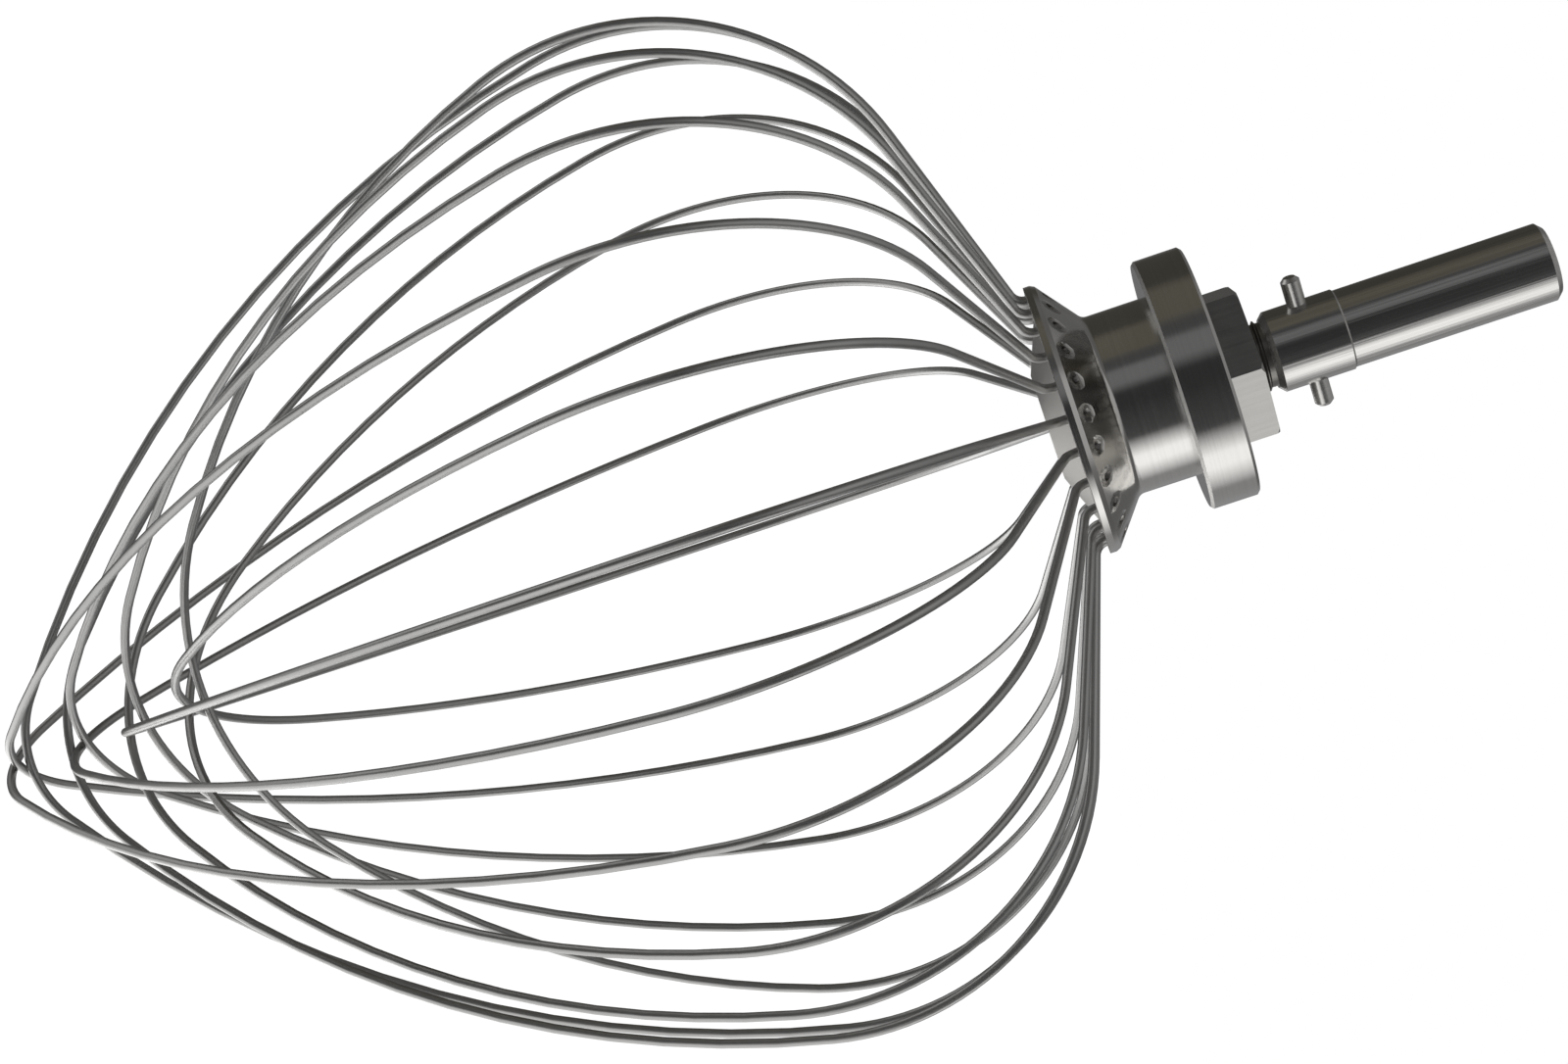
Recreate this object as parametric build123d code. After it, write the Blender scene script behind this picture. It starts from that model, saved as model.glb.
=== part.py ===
from build123d import *
import math
import os

# Balloon wire whisk of a stand mixer: a drive shaft with a cross pin screws into a turned hub,
# a lock nut holds the height it was set to, and the hub's crown carries nested loops of spring wire.
# Millimetres. The origin is on the shaft axis at the step where the plain shank meets its collar,
# +Z runs up the shaft towards the mixer, and the wire cage hangs below.

# Drive shaft
SHANK_DIA = 13.2
SHANK_LENGTH = 35.0
SHANK_CHAMFER = 1.0
COLLAR_STEP = 0.3
COLLAR_LENGTH = 13.0
COLLAR_CHAMFER = 1.0
STUD_DIA = 11.0
STUD_CHAMFER = 1.0
STUD_SHOWING = 2.4
STUD_IN_HUB = 20.0

# Cross pin
PIN_DIA = 3.2
PIN_LENGTH = 23.0
PIN_DROP = 6.3
PIN_TURN = 20.0
PIN_CHAMFER = 0.6

# Lock nut
NUT_ACROSS_FLATS = 24.0
NUT_THICKNESS = 6.0
NUT_CHAMFER = 0.5
NUT_TURN = 38.5

# Hub, turned in one piece: disc, neck, conical crown and a tapered boss under it
DISC_DIA = 43.0
DISC_THICKNESS = 8.4
DISC_CHAMFER = 0.5
NECK_DIA = 30.8
NECK_LENGTH = 10.3
NECK_FILLET = 1.6
CROWN_DIA = 46.4
CROWN_CONE = 6.1
CROWN_RIM = 1.6
CROWN_CHAMFER = 0.5
BOSS_DIA = 35.0
BOSS_DROP = 3.3
BOSS_END_DIA = 18.0
BORE_RUNOUT = 1.5
THREAD_CLEARANCE = 0.05

# Wire loops
LOOP_COUNT = 12
WIRE_DIA = 1.4
WIRE_SIDES = 6
WIRE_CLEARANCE = 0.04
HOLE_CIRCLE_DIA = 42.2
WIRE_IN_HUB = 2.5
HUB_BEND_RADIUS = 2.5
LEG_ANGLE = 71.5
CAGE_DIA = 173.0
SHOULDER_RADIUS = 46.5

# The loops nest in tiers that repeat round the hub, and loops of one tier cross just clear of each other
TIERS = 4
TIER_DEPTH = 154.5
TIER_STEP = 11.0
CROSSING_GAP = 0.3
BELLY_RADIUS = 150.0
BELLY_STEP = 15.0
TIP_RADIUS = 52.0
TIP_STEP = -11.2

# Heights along the shaft axis
collar_bottom = -COLLAR_LENGTH
nut_top = collar_bottom - STUD_SHOWING
disc_top = nut_top - NUT_THICKNESS
disc_bottom = disc_top - DISC_THICKNESS
neck_bottom = disc_bottom - NECK_LENGTH
rim_top = neck_bottom - CROWN_CONE
crown_bottom = rim_top - CROWN_RIM
boss_bottom = crown_bottom - BOSS_DROP
stud_bottom = disc_top - STUD_IN_HUB
bore_bottom = stud_bottom - BORE_RUNOUT

collar_dia = SHANK_DIA + 2 * COLLAR_STEP
bore_dia = STUD_DIA + 2 * THREAD_CLEARANCE
hole_radius = HOLE_CIRCLE_DIA / 2


def rod(diameter, bottom, top):
    """Upright cylinder on the shaft axis between two heights."""
    return Pos(0, 0, (bottom + top) / 2) * Cylinder(diameter / 2, top - bottom)


def cross_rod(diameter, length):
    """Level cylinder through the shaft in the cross pin's direction, centred on the axis at its height."""
    return Pos(0, 0, -PIN_DROP) * Rot(Z=PIN_TURN) * Rot(Y=90) * Cylinder(diameter / 2, length)


def make_shaft():
    """Plain shank, thicker collar sloped off at the step and drilled for the pin, and the stud below it."""
    shank = rod(SHANK_DIA, 0, SHANK_LENGTH)
    shank = chamfer(shank.edges().sort_by(Axis.Z)[-1], SHANK_CHAMFER)
    collar = rod(collar_dia, collar_bottom, 0)
    collar = chamfer(collar.edges().sort_by(Axis.Z)[0], COLLAR_CHAMFER)
    collar = chamfer(collar.edges().sort_by(Axis.Z)[-1], COLLAR_STEP)
    stud = rod(STUD_DIA, stud_bottom, collar_bottom)
    stud = chamfer(stud.edges().sort_by(Axis.Z)[0], STUD_CHAMFER)
    return shank + collar + stud - cross_rod(PIN_DIA, collar_dia * 2)


def make_cross_pin():
    """Dowel pressed through the collar, both ends chamfered."""
    pin = cross_rod(PIN_DIA, PIN_LENGTH)
    return chamfer(pin.edges().filter_by(GeomType.CIRCLE), PIN_CHAMFER)


def make_lock_nut():
    """Hexagon nut on the stud, its corners turned off by a shallow cone at both faces."""
    across_corners = NUT_ACROSS_FLATS / math.cos(math.pi / 6)
    hexagon = Rot(Z=NUT_TURN) * RegularPolygon(across_corners / 2, 6)
    nut = Pos(0, 0, disc_top) * extrude(hexagon, NUT_THICKNESS)
    turned = chamfer(rod(across_corners, disc_top, nut_top).edges().filter_by(GeomType.CIRCLE), NUT_CHAMFER)
    return (nut & turned) - rod(bore_dia, disc_top, nut_top)


def wire_section(diameter):
    """Section of the wire or of its hole: few flats round the same area as a round one."""
    turn = 2 * math.pi / WIRE_SIDES
    return RegularPolygon(diameter / 2 * math.sqrt(turn / math.sin(turn)), WIRE_SIDES)


def wire_holes():
    """Holes for the wire ends, from under the crown up through its cone."""
    section = wire_section(WIRE_DIA + 2 * WIRE_CLEARANCE)
    hole = Pos(0, 0, crown_bottom) * extrude(section, CROWN_RIM + CROWN_CONE)
    return [place * hole for place in PolarLocations(hole_radius, 2 * LOOP_COUNT)]


def make_hub():
    """Bobbin turned from bar: disc, neck, flared crown and tapered boss, bored for the stud from above."""
    outline = Polyline(
        (0, boss_bottom),
        (0, disc_top),
        (DISC_DIA / 2, disc_top),
        (DISC_DIA / 2, disc_bottom),
        (NECK_DIA / 2, disc_bottom),
        (NECK_DIA / 2, neck_bottom),
        (CROWN_DIA / 2, rim_top),
        (CROWN_DIA / 2, crown_bottom),
        (BOSS_DIA / 2, crown_bottom),
        (BOSS_END_DIA / 2, boss_bottom),
        close=True,
    )
    section = make_face(outline)
    disc_corners = [v for v in section.vertices() if abs(v.X - DISC_DIA / 2) < 1e-6]
    section = chamfer(disc_corners, DISC_CHAMFER)
    neck_corner = [v for v in section.vertices() if abs(v.Y - neck_bottom) < 1e-6]
    section = fillet(neck_corner, NECK_FILLET)
    rim_corner = [v for v in section.vertices() if abs(v.Y - rim_top) < 1e-6]
    section = chamfer(rim_corner, CROWN_CHAMFER)
    body = revolve(Plane.XZ * section, Axis.Z)
    return body - rod(bore_dia, bore_bottom, disc_top) - wire_holes()


def on_arc(centre, radius, heading):
    """Point of an arc where the wire heads `heading` degrees outwards from straight down."""
    angle = math.radians(heading)
    return (centre[0] + radius * math.cos(angle), centre[1] + radius * math.sin(angle))


def loop_path(depth, belly_radius, tip_radius):
    """Centre line of one loop in the XZ plane: stub, bend, straight leg, shoulder, belly and tip."""
    lean = math.radians(LEG_ANGLE)
    stub_top = (hole_radius, crown_bottom + WIRE_IN_HUB)
    mouth = (hole_radius, crown_bottom)
    bend_centre = (hole_radius + HUB_BEND_RADIUS, crown_bottom)
    bend_middle = on_arc(bend_centre, HUB_BEND_RADIUS, 180 + LEG_ANGLE / 2)
    bend_end = on_arc(bend_centre, HUB_BEND_RADIUS, 180 + LEG_ANGLE)

    shoulder_x = CAGE_DIA / 2 - SHOULDER_RADIUS
    leg_run = shoulder_x + SHOULDER_RADIUS * math.cos(lean) - bend_end[0]
    leg_end = (bend_end[0] + leg_run, bend_end[1] - leg_run / math.tan(lean))
    shoulder = (shoulder_x, leg_end[1] - SHOULDER_RADIUS * math.sin(lean))
    tip = (0, crown_bottom - depth + tip_radius)

    # The belly arc touches the shoulder and tip arcs from outside, so its centre lies
    # belly_radius less each of their radii away from their centres, beyond the axis.
    to_shoulder = belly_radius - SHOULDER_RADIUS
    to_tip = belly_radius - tip_radius
    span_x = tip[0] - shoulder[0]
    span_z = tip[1] - shoulder[1]
    span = math.hypot(span_x, span_z)
    along = (to_shoulder**2 - to_tip**2 + span**2) / (2 * span)
    across = math.sqrt(to_shoulder**2 - along**2)
    belly = (
        shoulder[0] + (along * span_x + across * span_z) / span,
        shoulder[1] + (along * span_z - across * span_x) / span,
    )
    belly_start = math.degrees(math.atan2(shoulder[1] - belly[1], shoulder[0] - belly[0]))
    belly_end = math.degrees(math.atan2(tip[1] - belly[1], tip[0] - belly[0]))

    shoulder_middle = on_arc(shoulder, SHOULDER_RADIUS, (LEG_ANGLE + belly_start) / 2)
    shoulder_end = on_arc(shoulder, SHOULDER_RADIUS, belly_start)
    belly_middle = on_arc(belly, belly_radius, (belly_start + belly_end) / 2)
    tip_start = on_arc(tip, tip_radius, belly_end)
    tip_bottom = on_arc(tip, tip_radius, -90)

    leg = [
        Line(stub_top, mouth),
        ThreePointArc(mouth, bend_middle, bend_end),
        Line(bend_end, leg_end),
        ThreePointArc(leg_end, shoulder_middle, shoulder_end),
        ThreePointArc(shoulder_end, belly_middle, tip_start),
    ]
    tip_arc = ThreePointArc(tip_start, tip_bottom, (-tip_start[0], tip_start[1]))
    other_leg = [mirror(run, Plane.YZ).edge() for run in leg]
    return Plane.XZ * Wire(leg + [tip_arc] + other_leg)


def make_loop(index):
    """One wire loop: its tier sets how deep and how pointed it is, its place in the tier the crossing."""
    tier = (index - 1) % TIERS
    crossing = index // TIERS * (WIRE_DIA + CROSSING_GAP)
    depth = TIER_DEPTH + tier * TIER_STEP + crossing
    path = loop_path(depth, BELLY_RADIUS + tier * BELLY_STEP, TIP_RADIUS + tier * TIP_STEP)
    section = Plane(path @ 0, x_dir=(1, 0, 0), z_dir=path % 0) * wire_section(WIRE_DIA)
    return Rot(Z=index * 180 / LOOP_COUNT) * sweep(section, path)


pieces = {
    "shaft": make_shaft(),
    "cross_pin": make_cross_pin(),
    "lock_nut": make_lock_nut(),
    "hub": make_hub(),
}
for number in range(LOOP_COUNT):
    pieces[f"wire_loop_{number + 1:02d}"] = make_loop(number)

os.makedirs("parts", exist_ok=True)
for node, solid in pieces.items():
    export_step(solid, f"parts/{node}.step")
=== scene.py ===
import math

import bpy
import numpy as np
from mathutils import Matrix, Vector
from mathutils.geometry import intersect_sphere_sphere_2d


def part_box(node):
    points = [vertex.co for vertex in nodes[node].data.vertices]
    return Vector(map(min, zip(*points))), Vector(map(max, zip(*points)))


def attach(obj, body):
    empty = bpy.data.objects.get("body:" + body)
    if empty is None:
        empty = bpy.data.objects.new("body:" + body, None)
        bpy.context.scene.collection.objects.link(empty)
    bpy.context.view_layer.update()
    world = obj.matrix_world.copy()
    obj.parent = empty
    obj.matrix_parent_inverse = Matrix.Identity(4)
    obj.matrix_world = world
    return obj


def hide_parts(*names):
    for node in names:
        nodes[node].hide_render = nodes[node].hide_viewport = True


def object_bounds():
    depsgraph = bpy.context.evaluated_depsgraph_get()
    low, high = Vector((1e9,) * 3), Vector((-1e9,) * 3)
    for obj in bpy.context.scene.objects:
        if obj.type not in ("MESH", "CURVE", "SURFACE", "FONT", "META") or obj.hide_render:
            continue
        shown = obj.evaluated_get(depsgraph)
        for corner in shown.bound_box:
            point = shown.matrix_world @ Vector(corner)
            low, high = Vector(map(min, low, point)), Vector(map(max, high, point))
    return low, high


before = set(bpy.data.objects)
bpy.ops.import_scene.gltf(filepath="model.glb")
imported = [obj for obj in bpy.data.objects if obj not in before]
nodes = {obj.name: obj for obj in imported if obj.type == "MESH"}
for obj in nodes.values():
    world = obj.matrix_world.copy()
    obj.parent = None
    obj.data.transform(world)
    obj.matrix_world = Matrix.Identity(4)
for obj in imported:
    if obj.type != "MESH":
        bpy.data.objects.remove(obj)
cad_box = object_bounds()

# Drive shaft: a plain shank, a slightly thicker collar and a threaded stud, turned from one steel bar.
# The shank was ground and then polished along its length, which leaves fine streaks in wider passes.
# Its stud screws into the hub, so that the whisk's height can be set, and it is painted dark: painted shade
# between the collar and the nut.
STUD_TOP = -0.0130
STUD_RADIUS = 0.0055


class Tone:
    """A value in a material's node tree. Sums, products and comparisons of it add Math nodes."""

    def __init__(self, tree, socket=None):
        self.tree = tree
        self.socket = socket

    def node(self, kind, settings, inputs, out=0):
        """Adds a node, sets its settings, then fills its sockets from numbers, colours or other tones."""
        made = self.tree.nodes.new(kind)
        for name, value in settings.items():
            if name == "stops":
                ramp = made.color_ramp
                while len(ramp.elements) < len(value):
                    ramp.elements.new(1.0)
                for element, (position, colour) in zip(ramp.elements, value):
                    element.position = position
                    element.color = (*colour, 1.0)
            else:
                setattr(made, name, value)
        for name, value in inputs.items():
            if isinstance(value, Tone):
                self.tree.links.new(value.socket, made.inputs[name])
            else:
                made.inputs[name].default_value = value
        return Tone(self.tree, made.outputs[out] if made.outputs else None)

    def maths(self, operation, first, second=0.0):
        """Adds one Math node, also for an operation that has no operator here."""
        return self.node("ShaderNodeMath", {"operation": operation}, {0: first, 1: second})

    def __add__(self, other):
        return self.maths("ADD", self, other)

    def __radd__(self, other):
        return self.maths("ADD", other, self)

    def __sub__(self, other):
        return self.maths("SUBTRACT", self, other)

    def __rsub__(self, other):
        return self.maths("SUBTRACT", other, self)

    def __mul__(self, other):
        return self.maths("MULTIPLY", self, other)

    def __rmul__(self, other):
        return self.maths("MULTIPLY", other, self)

    def __lt__(self, other):
        return self.maths("LESS_THAN", self, other)

    def __gt__(self, other):
        return self.maths("GREATER_THAN", self, other)


def new_finish(name):
    """An empty material and the tone that its nodes are added from."""
    material = bpy.data.materials.new(name)
    material.use_nodes = True
    material.node_tree.nodes.clear()
    return material, Tone(material.node_tree)


def stretched(place, scales):
    """Places on a surface, packed together or drawn out along X, Y and Z."""
    return place.node("ShaderNodeVectorMath", {"operation": "MULTIPLY"}, {0: place, 1: scales})


def noise(place, scale, detail, roughness=0.5):
    """Random marks from 0 to 1, finer where the scale is larger."""
    return place.node(
        "ShaderNodeTexNoise",
        {},
        {"Vector": place, "Scale": scale, "Detail": detail, "Roughness": roughness},
    )


def mixed(share, first, second):
    """Colour that runs from the first to the second as the share goes from 0 to 1."""
    # The node's colour sockets have the same names as others, so they go by number.
    return share.node("ShaderNodeMix", {"data_type": "RGBA"}, {0: share, 6: first, 7: second}, out=2)


def steel(mark, dark, light, tint, roughness, relief):
    """Metal with a colour between two tones by `tint`, and marks as high as `relief` says in metres."""
    colour = mixed(tint, (*dark, 1.0), (*light, 1.0))
    bump = mark.node("ShaderNodeBump", {}, {"Strength": 1.0, "Distance": 1.0, "Height": relief})
    surface = mark.node(
        "ShaderNodeBsdfPrincipled",
        {},
        {"Base Color": colour, "Metallic": 1.0, "Roughness": roughness, "Normal": bump},
    )
    mark.node("ShaderNodeOutputMaterial", {}, {"Surface": surface})


def dress(piece, material):
    """Gives a piece its finish as its only material."""
    piece.data.materials.clear()
    piece.data.materials.append(material)


shaft_finish, mark = new_finish("polished_shaft_steel")
place = mark.node("ShaderNodeTexCoord", {}, {}, "Object")
height = mark.node("ShaderNodeSeparateXYZ", {}, {0: place}, "Z")
streaks = noise(stretched(place, (2600.0, 2600.0, 14.0)), scale=1.0, detail=4.0, roughness=0.65)
passes = noise(stretched(place, (800.0, 800.0, 9.0)), scale=1.0, detail=2.0)
scuffs = noise(place, scale=130.0, detail=3.0)
# The stud and its thread are painted dark and made rougher. The dark is painted shade between the collar
# and the nut.
shaded_stud = height < STUD_TOP
steel(
    mark,
    dark=(0.20, 0.193, 0.18),
    light=(0.76, 0.75, 0.73),
    tint=(0.25 + 0.75 * streaks) * (1 - shaded_stud),
    roughness=0.05 + 0.12 * streaks + 0.06 * scuffs + 0.15 * shaded_stud,
    relief=0.000018 * streaks + 0.00006 * passes,
)
dress(nodes["shaft"], shaft_finish)

# Stud thread: a fine thread cut on the stud, of which about two turns show between the collar and the nut.
# Its ridge runs out below the collar, where the die stopped, and goes on into the nut at the other end.
THREAD_PITCH = 0.0010
THREAD_HEIGHT = 0.0005
THREAD_ROOT = 0.0009
THREAD_CREST = 0.00015
THREAD_SUNK = 0.0001
THREAD_END_IN_NUT = 0.0004
RUN_OUT_STEPS = 16
STEPS_ROUND = 96
SHARP_EDGE = math.radians(30)

scene = bpy.context.scene


def skin(name, sections):
    """New piece with a smooth skin over a row of sections, closed at both ends."""
    rings = np.arange(sections.shape[0] * sections.shape[1]).reshape(sections.shape[:2])
    beside = np.roll(rings, -1, axis=1)
    sides = np.stack((rings[:-1], beside[:-1], beside[1:], rings[1:]), axis=-1).reshape(-1, 4)
    ends = [rings[0, ::-1].tolist(), rings[-1].tolist()]
    mesh = bpy.data.meshes.new(name)
    mesh.from_pydata(sections.reshape(-1, 3).tolist(), [], ends + sides.tolist())
    mesh.shade_smooth()
    piece = bpy.data.objects.new(name, mesh)
    scene.collection.objects.link(piece)
    return piece


def ridge_section(step):
    """Corners of the ridge's section at one step of its helix, rising from nothing over the run-out."""
    angle = 2 * math.pi * step / STEPS_ROUND
    middle = STUD_TOP - THREAD_ROOT / 2 - THREAD_PITCH * step / STEPS_ROUND
    rise = THREAD_HEIGHT * min(1.0, step / RUN_OUT_STEPS)
    corners = [
        (STUD_RADIUS - THREAD_SUNK, middle + THREAD_ROOT / 2),
        (STUD_RADIUS + rise, middle + THREAD_CREST / 2),
        (STUD_RADIUS + rise, middle - THREAD_CREST / 2),
        (STUD_RADIUS - THREAD_SUNK, middle - THREAD_ROOT / 2),
    ]
    return [(out * math.cos(angle), out * math.sin(angle), up) for out, up in corners]


nut_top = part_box("lock_nut")[1].z
thread_length = STUD_TOP - THREAD_ROOT / 2 - (nut_top - THREAD_END_IN_NUT)
last_step = round(thread_length / THREAD_PITCH * STEPS_ROUND)
thread = skin("stud_thread", np.array([ridge_section(step) for step in range(last_step + 1)]))
thread.data.set_sharp_from_angle(angle=SHARP_EDGE)
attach(thread, "root")
dress(thread, shaft_finish)

# Cross pin: a hardened dowel pressed through the collar, with chamfered ends that stand out on both sides.
# It was ground between wheels, so its marks run round it, and the drive socket has rubbed it a little dull.
PIN_TURN = math.radians(20.0)

pin_finish, mark = new_finish("ground_pin_steel")
place = mark.node("ShaderNodeTexCoord", {}, {}, "Object")
along_pin = mark.node(
    "ShaderNodeVectorRotate",
    {"rotation_type": "Z_AXIS"},
    {"Vector": place, "Angle": -PIN_TURN},
)
rings = noise(stretched(along_pin, (3500.0, 60.0, 60.0)), scale=1.0, detail=3.0)
rubbed = noise(place, scale=420.0, detail=2.0)
steel(
    mark,
    dark=(0.52, 0.51, 0.49),
    light=(0.68, 0.67, 0.65),
    tint=rings,
    roughness=0.14 + 0.10 * rings + 0.10 * rubbed,
    relief=0.000006 * rings,
)
dress(nodes["cross_pin"], pin_finish)

# Lock nut: a thin hexagon nut parted from drawn bar, so faint draw lines run up its flats.
# It is spun down the stud and tightened on the disc, and a spanner has left its flats uneven.
nut_finish, mark = new_finish("drawn_nut_steel")
place = mark.node("ShaderNodeTexCoord", {}, {}, "Object")
draw_lines = noise(stretched(place, (1500.0, 1500.0, 40.0)), scale=1.0, detail=4.0)
spanner = noise(place, scale=240.0, detail=4.0)
steel(
    mark,
    dark=(0.26, 0.255, 0.245),
    light=(0.42, 0.415, 0.40),
    tint=0.6 * draw_lines + 0.4 * spanner,
    roughness=0.12 + 0.10 * draw_lines + 0.10 * spanner,
    relief=0.000006 * draw_lines,
)
dress(nodes["lock_nut"], nut_finish)

# Hub: disc, neck, flared crown and boss, turned from one bar of stainless steel and polished on the lathe.
# The tool's marks run round it as fine rings. Its underside is darker in colour and rougher, and the disc's
# lower edge is rougher.
# A punch mark on the crown's cone above each wire end pinches the wire in its hole.
BOSS_DROP = 0.0033
CROWN_HEIGHT = 0.0077
NECK_LENGTH = 0.0103
DISC_RADIUS = 0.0215
DISC_CHAMFER = 0.0005
WIRE_ENDS = 24
HOLE_CIRCLE_RADIUS = 0.0211
PUNCH_RADIUS = 0.0016
PUNCH_DEPTH = 0.0004
PUNCH_ABOVE_RIM = 0.0005
DULL_RIM = 0.0001
HAIR = 0.00001

crown_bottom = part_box("hub")[0].z + BOSS_DROP
neck_bottom = crown_bottom + CROWN_HEIGHT
disc_bottom = neck_bottom + NECK_LENGTH

hub_finish, mark = new_finish("turned_hub_steel")
place = mark.node("ShaderNodeTexCoord", {}, {}, "Object")
height = mark.node("ShaderNodeSeparateXYZ", {}, {0: place}, "Z")
level_place = stretched(place, (1.0, 1.0, 0.0))
radius = mark.node("ShaderNodeVectorMath", {"operation": "LENGTH"}, {0: level_place}, "Value")
ring_place = mark.node("ShaderNodeCombineXYZ", {}, {"X": radius, "Y": height, "Z": 0.0})
lathe_rings = noise(ring_place, scale=3800.0, detail=2.0)
handling = noise(place, scale=90.0, detail=4.0)
ragged = noise(place, scale=900.0, detail=2.0)

# Each mark is a bowl round its wire end, measured along the circle of holes and outward from it.
round_turn = mark.node("ShaderNodeTexGradient", {"gradient_type": "RADIAL"}, {"Vector": place}, "Fac")
past_end = mark.maths("FRACT", round_turn * WIRE_ENDS + 0.5) - 0.5
aside = past_end * (2 * math.pi * HOLE_CIRCLE_RADIUS / WIRE_ENDS)
outward = radius - HOLE_CIRCLE_RADIUS
spread = (aside * aside + outward * outward) * (1 / PUNCH_RADIUS**2)
on_cone = (height > crown_bottom + PUNCH_ABOVE_RIM) * (height < neck_bottom)
# Inside each mark the steel is dented by bump and made rougher, and it is also painted dark: painted shade
# in the pit.
punch_dent_and_shade = on_cone * mark.maths("MAXIMUM", 1 - spread * (0.6 + 0.8 * ragged), 0.0)

underside = height < crown_bottom + DULL_RIM
by_disc_edge = (height > neck_bottom) * (height < disc_bottom + DISC_CHAMFER)
disc_edge = by_disc_edge * (radius > DISC_RADIUS - DISC_CHAMFER + HAIR)
steel(
    mark,
    dark=(0.26, 0.25, 0.235),
    light=(0.65, 0.64, 0.62),
    tint=(0.6 + 0.2 * lathe_rings + 0.2 * handling) * (1 - punch_dent_and_shade) * (1 - 0.55 * underside),
    roughness=0.05 + 0.07 * lathe_rings + 0.09 * handling + 0.2 * punch_dent_and_shade + 0.35 * (underside + disc_edge),
    relief=0.000006 * lathe_rings - PUNCH_DEPTH * punch_dent_and_shade,
)
dress(nodes["hub"], hub_finish)

# Wire loops: bright drawn spring wire, each loop bent on a former from one length, in four tiers of depth.
# Both ends are pushed up into the crown on opposite sides and held there by a punch mark.
# Drawing leaves the wire smooth, a little darker than the hub, with a faint mottle from washing.
LOOPS = WIRE_ENDS // 2
TIERS = 4
WIRE_IN_HUB = 0.0025
HUB_BEND_RADIUS = 0.0025
LEG_ANGLE = math.radians(71.5)
CAGE_RADIUS = 0.0865
SHOULDER_RADIUS = 0.0465
TIER_DEPTH = 0.1545
TIER_STEP = 0.0110
CROSSING_STEP = 0.0017
BELLY_RADIUS = 0.1500
BELLY_STEP = 0.0150
TIP_RADIUS = 0.0520
TIP_STEP = -0.0112
BEND_STEP = math.radians(3)
WIRE_SIDES = 12


def bend(centre, radius, start, end):
    """Points along a bend of the wire, as distances out from the shaft's axis and heights."""
    steps = math.ceil(abs(end - start) / BEND_STEP)
    angles = np.linspace(start, end, steps + 1)
    return np.column_stack((centre[0] + radius * np.cos(angles), centre[1] + radius * np.sin(angles)))


def half_loop(depth, belly_radius, tip_radius):
    """Centre line of half a loop: end in the hub, bend, straight leg, shoulder, belly and half the tip."""
    bend_centre = (HOLE_CIRCLE_RADIUS + HUB_BEND_RADIUS, crown_bottom)
    hub_bend = bend(bend_centre, HUB_BEND_RADIUS, math.pi, math.pi + LEG_ANGLE)
    leg_out, leg_top = hub_bend[-1]
    leg_run = CAGE_RADIUS - SHOULDER_RADIUS * (1 - math.cos(LEG_ANGLE)) - leg_out
    leg_bottom = leg_top - leg_run / math.tan(LEG_ANGLE)
    shoulder = Vector((CAGE_RADIUS - SHOULDER_RADIUS, leg_bottom - SHOULDER_RADIUS * math.sin(LEG_ANGLE)))
    tip = Vector((0.0, crown_bottom - depth + tip_radius))

    # The belly runs on smoothly from both arcs, so its centre is its radius less theirs away from their
    # centres. Of the two points where that holds, it is the one beyond the axis.
    to_shoulder = belly_radius - SHOULDER_RADIUS
    to_tip = belly_radius - tip_radius
    belly = min(intersect_sphere_sphere_2d(shoulder, to_shoulder, tip, to_tip), key=lambda point: point.x)
    belly_start = math.atan2(shoulder.y - belly.y, shoulder.x - belly.x)
    belly_end = math.atan2(tip.y - belly.y, tip.x - belly.x)
    return np.concatenate(
        (
            [(HOLE_CIRCLE_RADIUS, crown_bottom + WIRE_IN_HUB)],
            hub_bend,
            bend(shoulder, SHOULDER_RADIUS, LEG_ANGLE, belly_start),
            bend(belly, belly_radius, belly_start, belly_end)[1:],
            bend(tip, tip_radius, belly_end, -math.pi / 2)[1:],
        )
    )


def wire_sections(line, radius):
    """Round sections square to a centre line in the XZ plane."""
    along = np.gradient(line, axis=0)
    along /= np.linalg.norm(along, axis=1, keepdims=True)
    angles = np.linspace(0.0, 2 * math.pi, WIRE_SIDES, endpoint=False)
    out = line[:, :1] + radius * along[:, 1:] * np.cos(angles)
    up = line[:, 1:] - radius * along[:, :1] * np.cos(angles)
    across = np.broadcast_to(radius * np.sin(angles), out.shape)
    return np.stack((out, across, up), axis=-1)


wire_finish, mark = new_finish("drawn_spring_wire")
place = mark.node("ShaderNodeTexCoord", {}, {}, "Object")
mottle = noise(place, scale=220.0, detail=4.0)
patches = noise(place, scale=26.0, detail=2.0)
steel(
    mark,
    dark=(0.30, 0.30, 0.295),
    light=(0.52, 0.515, 0.505),
    tint=0.4 * mottle + 0.6 * patches,
    roughness=0.27 + 0.14 * mottle,
    relief=0.000004 * mottle,
)

# The first loop lies in the XZ plane, so the frame's box for it gives the wire's thickness. The three
# loops of a tier pass one under another at the tip, just clear of each other.
wire_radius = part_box("wire_loop_01")[1].x - CAGE_RADIUS
for index in range(LOOPS):
    number = f"{index + 1:02d}"
    tier = (index - 1) % TIERS
    depth = TIER_DEPTH + tier * TIER_STEP + index // TIERS * CROSSING_STEP
    half = half_loop(depth, BELLY_RADIUS + tier * BELLY_STEP, TIP_RADIUS + tier * TIP_STEP)
    other_half = half[-2::-1] * (-1, 1)
    line = np.concatenate((half, other_half))
    wire = skin(f"round_wire_{number}", wire_sections(line, wire_radius))
    wire.data.transform(Matrix.Rotation(math.pi * index / LOOPS, 4, "Z"))
    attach(wire, "root")
    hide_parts(f"wire_loop_{number}")
    dress(wire, wire_finish)

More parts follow.
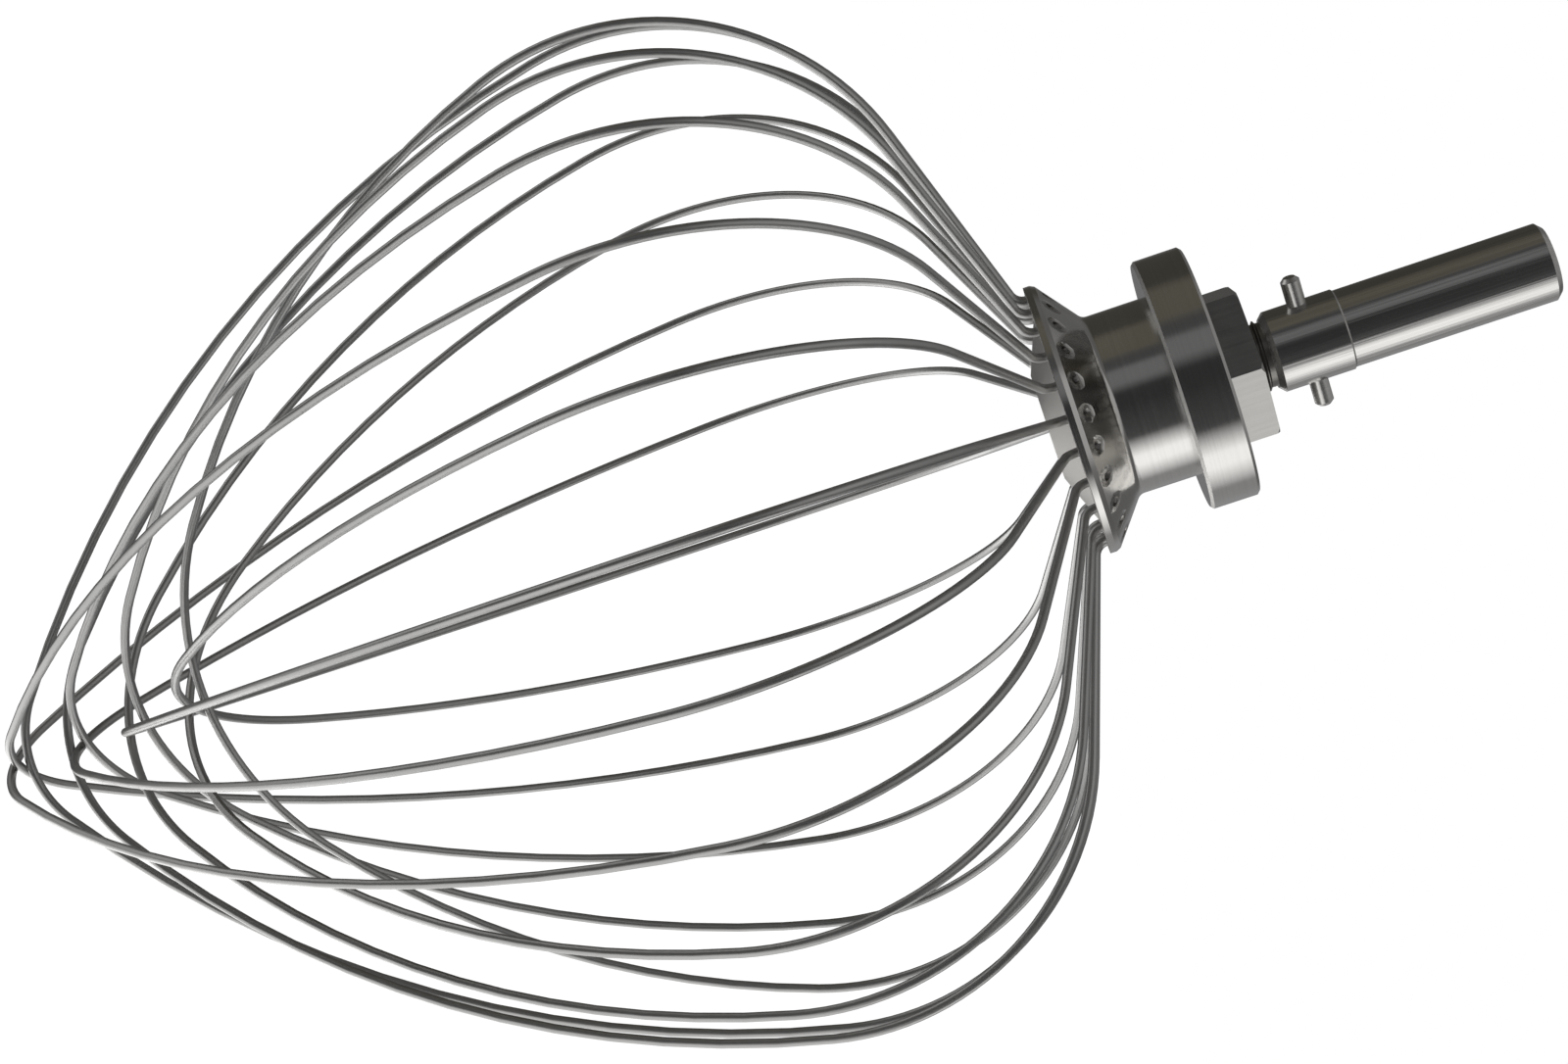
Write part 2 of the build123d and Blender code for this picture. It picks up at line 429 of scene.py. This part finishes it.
# Studio: a wide pale floor some way under the hanging whisk, in front of a white backdrop all round.
# A broad, even light from above falls on the floor, and the whisk hangs free over it, as it does in use.
FLOOR_DROP = 0.16
FLOOR_WIDTH = 40.0
FLOOR_COLOUR = (0.9, 0.9, 0.9)
BACKDROP_COLOUR = (1.0, 1.0, 1.0)
LIGHT_STRENGTH = 0.6
LIGHT_SPREAD = math.radians(80)

lowest, highest = cad_box
bpy.ops.mesh.primitive_plane_add(size=FLOOR_WIDTH, location=(0, 0, lowest.z - FLOOR_DROP))
floor = bpy.context.object
floor.name = "floor"
floor.visible_glossy = False
floor_finish, mark = new_finish("pale_floor")
matt = mark.node("ShaderNodeBsdfDiffuse", {}, {"Color": (*FLOOR_COLOUR, 1.0)})
mark.node("ShaderNodeOutputMaterial", {}, {"Surface": matt})
floor.data.materials.append(floor_finish)

world = bpy.data.worlds.new("white_backdrop")
world.use_nodes = True
backdrop = world.node_tree.nodes["Background"]
backdrop.inputs["Color"].default_value = (*BACKDROP_COLOUR, 1.0)
backdrop.inputs["Strength"].default_value = 1.0
scene.world = world

lamp = bpy.data.objects.new("overhead_light", bpy.data.lights.new("overhead_light", "SUN"))
lamp.data.energy = LIGHT_STRENGTH
lamp.data.angle = LIGHT_SPREAD
lamp.visible_glossy = False
scene.collection.objects.link(lamp)

# Screens: cloths hang all round the set, out of the picture, so that the polished steel shows dark tones
# with one bright gap at its side. A ceiling, a partly lit floor, a soft box and a card light the rest.
# They only show in reflections, and neither shade the floor nor hide the backdrop.
SCREEN_RADIUS = 2.6
BROWN_CLOTH = (0.13, 0.122, 0.10)
OLIVE_CLOTH = (0.065, 0.062, 0.052)
BLACK_CLOTH = (0.04, 0.04, 0.041)
CHARCOAL_CLOTH = (0.08, 0.08, 0.082)
GREY_CLOTH = (0.20, 0.20, 0.205)
PALE_CLOTH = (0.34, 0.34, 0.345)
BRIGHT_GAP = (1.5, 1.5, 1.5)
DIM_CEILING = (0.15, 0.15, 0.15)
PALE_CEILING = (0.32, 0.32, 0.32)
DIM_FLOOR = (0.14, 0.14, 0.14)
LIT_FLOOR = (0.75, 0.75, 0.75)
FLOOR_STRIPS = 3
STRIP_TURN = 0.52
OPEN_FLOOR = (1.2, 1.2, 1.2)
OPEN_FLOOR_AIM = (0.6, 0.0, -0.8)
SOFT_BOX = (0.5, 0.5, 0.5)
SOFT_BOX_AIM = (0.0, -0.58, 0.81)
WHITE_CARD = (2.2, 2.2, 2.2)
WHITE_CARD_AIM = (0.33, 0.55, -0.77)

# Where each cloth begins and ends, in shares of a turn from -X by way of -Y. Between two cloths they blend.
CLOTHS = [
    (0.0, 0.085, BROWN_CLOTH),
    (0.105, 0.13, CHARCOAL_CLOTH),
    (0.145, 0.19, GREY_CLOTH),
    (0.22, 0.27, BLACK_CLOTH),
    (0.38, 0.38, CHARCOAL_CLOTH),
    (0.455, 0.495, BRIGHT_GAP),
    (0.58, 0.68, PALE_CLOTH),
    (0.75, 0.75, GREY_CLOTH),
    (0.82, 0.97, OLIVE_CLOTH),
    (1.0, 1.0, BROWN_CLOTH),
]


def fade(value, none, full):
    """0 where a value is at `none`, rising softly to 1 where it is at `full`."""
    return value.node(
        "ShaderNodeMapRange",
        {"interpolation_type": "SMOOTHSTEP"},
        {"Value": value, "From Min": none, "From Max": full},
    )


def toward(place, direction):
    """Cosine of the angle between a place on the screens and a direction from the whisk."""
    unit = tuple(Vector(direction).normalized())
    return place.node("ShaderNodeVectorMath", {"operation": "DOT_PRODUCT"}, {0: place, 1: unit}, "Value")


def hang_over(under, colour, mask):
    """Covers what hangs there already with a colour where the mask is 1."""
    return mixed(mask, under, (*colour, 1.0))


bpy.ops.mesh.primitive_uv_sphere_add(segments=48, ring_count=24, radius=1.0)
screens = bpy.context.object
screens.name = "screens"
screens.scale = (SCREEN_RADIUS, SCREEN_RADIUS, SCREEN_RADIUS)
screens.location = (lowest + highest) / 2
screens.visible_camera = False
screens.visible_diffuse = False
screens.visible_transmission = False
screens.visible_shadow = False

screen_finish, mark = new_finish("dark_cloth_screens")
place = mark.node("ShaderNodeTexCoord", {}, {}, "Object")
height = mark.node("ShaderNodeSeparateXYZ", {}, {0: place}, "Z")
round_set = mark.node("ShaderNodeTexGradient", {"gradient_type": "RADIAL"}, {"Vector": place}, "Fac")
cloth_stops = [(edge, colour) for begin, end, colour in CLOTHS for edge in (begin, end)]
shown = mark.node("ShaderNodeValToRGB", {"stops": cloth_stops}, {"Fac": round_set})
shown = hang_over(shown, DIM_CEILING, fade(height, none=0.25, full=0.45))
shown = hang_over(shown, PALE_CEILING, fade(height, none=0.6, full=0.9))
below = fade(height, none=-0.02, full=-0.10)
strip_wave = mark.maths("PINGPONG", round_set * FLOOR_STRIPS + STRIP_TURN, 0.5)
shown = hang_over(shown, DIM_FLOOR, below)
shown = hang_over(shown, LIT_FLOOR, below * fade(strip_wave, none=0.26, full=0.40))
shown = hang_over(shown, OPEN_FLOOR, fade(toward(place, OPEN_FLOOR_AIM), none=0.55, full=0.7))
shown = hang_over(shown, SOFT_BOX, fade(toward(place, SOFT_BOX_AIM), none=0.8, full=0.92))
shown = hang_over(shown, WHITE_CARD, fade(toward(place, WHITE_CARD_AIM), none=0.90, full=0.96))
glow = mark.node("ShaderNodeEmission", {}, {"Color": shown, "Strength": 1.0})
mark.node("ShaderNodeOutputMaterial", {}, {"Surface": glow})
screens.data.materials.append(screen_finish)

# Camera: it stands beside the whisk a little below the crown, and looks at it slightly from above.
# It is rolled, so that the shaft points up to the right of the picture.
CAMERA_DISTANCE = 0.4657
CAMERA_BELOW_CROWN = 0.0044
CAMERA_ROUND = math.radians(0.55)
CAMERA_YAW = math.radians(0.34)
CAMERA_PITCH = math.radians(5.67)
CAMERA_ROLL = math.radians(71.66)
FOCAL_PIXELS = 2843.0
IMAGE_WIDTH = 1600.0

sideways = Vector((math.cos(CAMERA_YAW), -math.sin(CAMERA_YAW), 0.0))
forward = Vector(
    (
        math.cos(CAMERA_PITCH) * math.sin(CAMERA_YAW),
        math.cos(CAMERA_PITCH) * math.cos(CAMERA_YAW),
        -math.sin(CAMERA_PITCH),
    )
)
down = forward.cross(sideways)
image_right = math.cos(CAMERA_ROLL) * sideways - math.sin(CAMERA_ROLL) * down
image_down = math.sin(CAMERA_ROLL) * sideways + math.cos(CAMERA_ROLL) * down
camera = bpy.data.objects.new("camera", bpy.data.cameras.new("camera"))
camera.data.sensor_fit = "HORIZONTAL"
camera.data.lens = camera.data.sensor_width * FOCAL_PIXELS / IMAGE_WIDTH
stand = Matrix.Translation((0.0, -CAMERA_DISTANCE, crown_bottom - CAMERA_BELOW_CROWN))
aim = Matrix((image_right, -image_down, -forward)).transposed().to_4x4()
camera.matrix_world = Matrix.Rotation(CAMERA_ROUND, 4, "Z") @ stand @ aim
scene.collection.objects.link(camera)
scene.camera = camera

scene.view_settings.view_transform = "Standard"
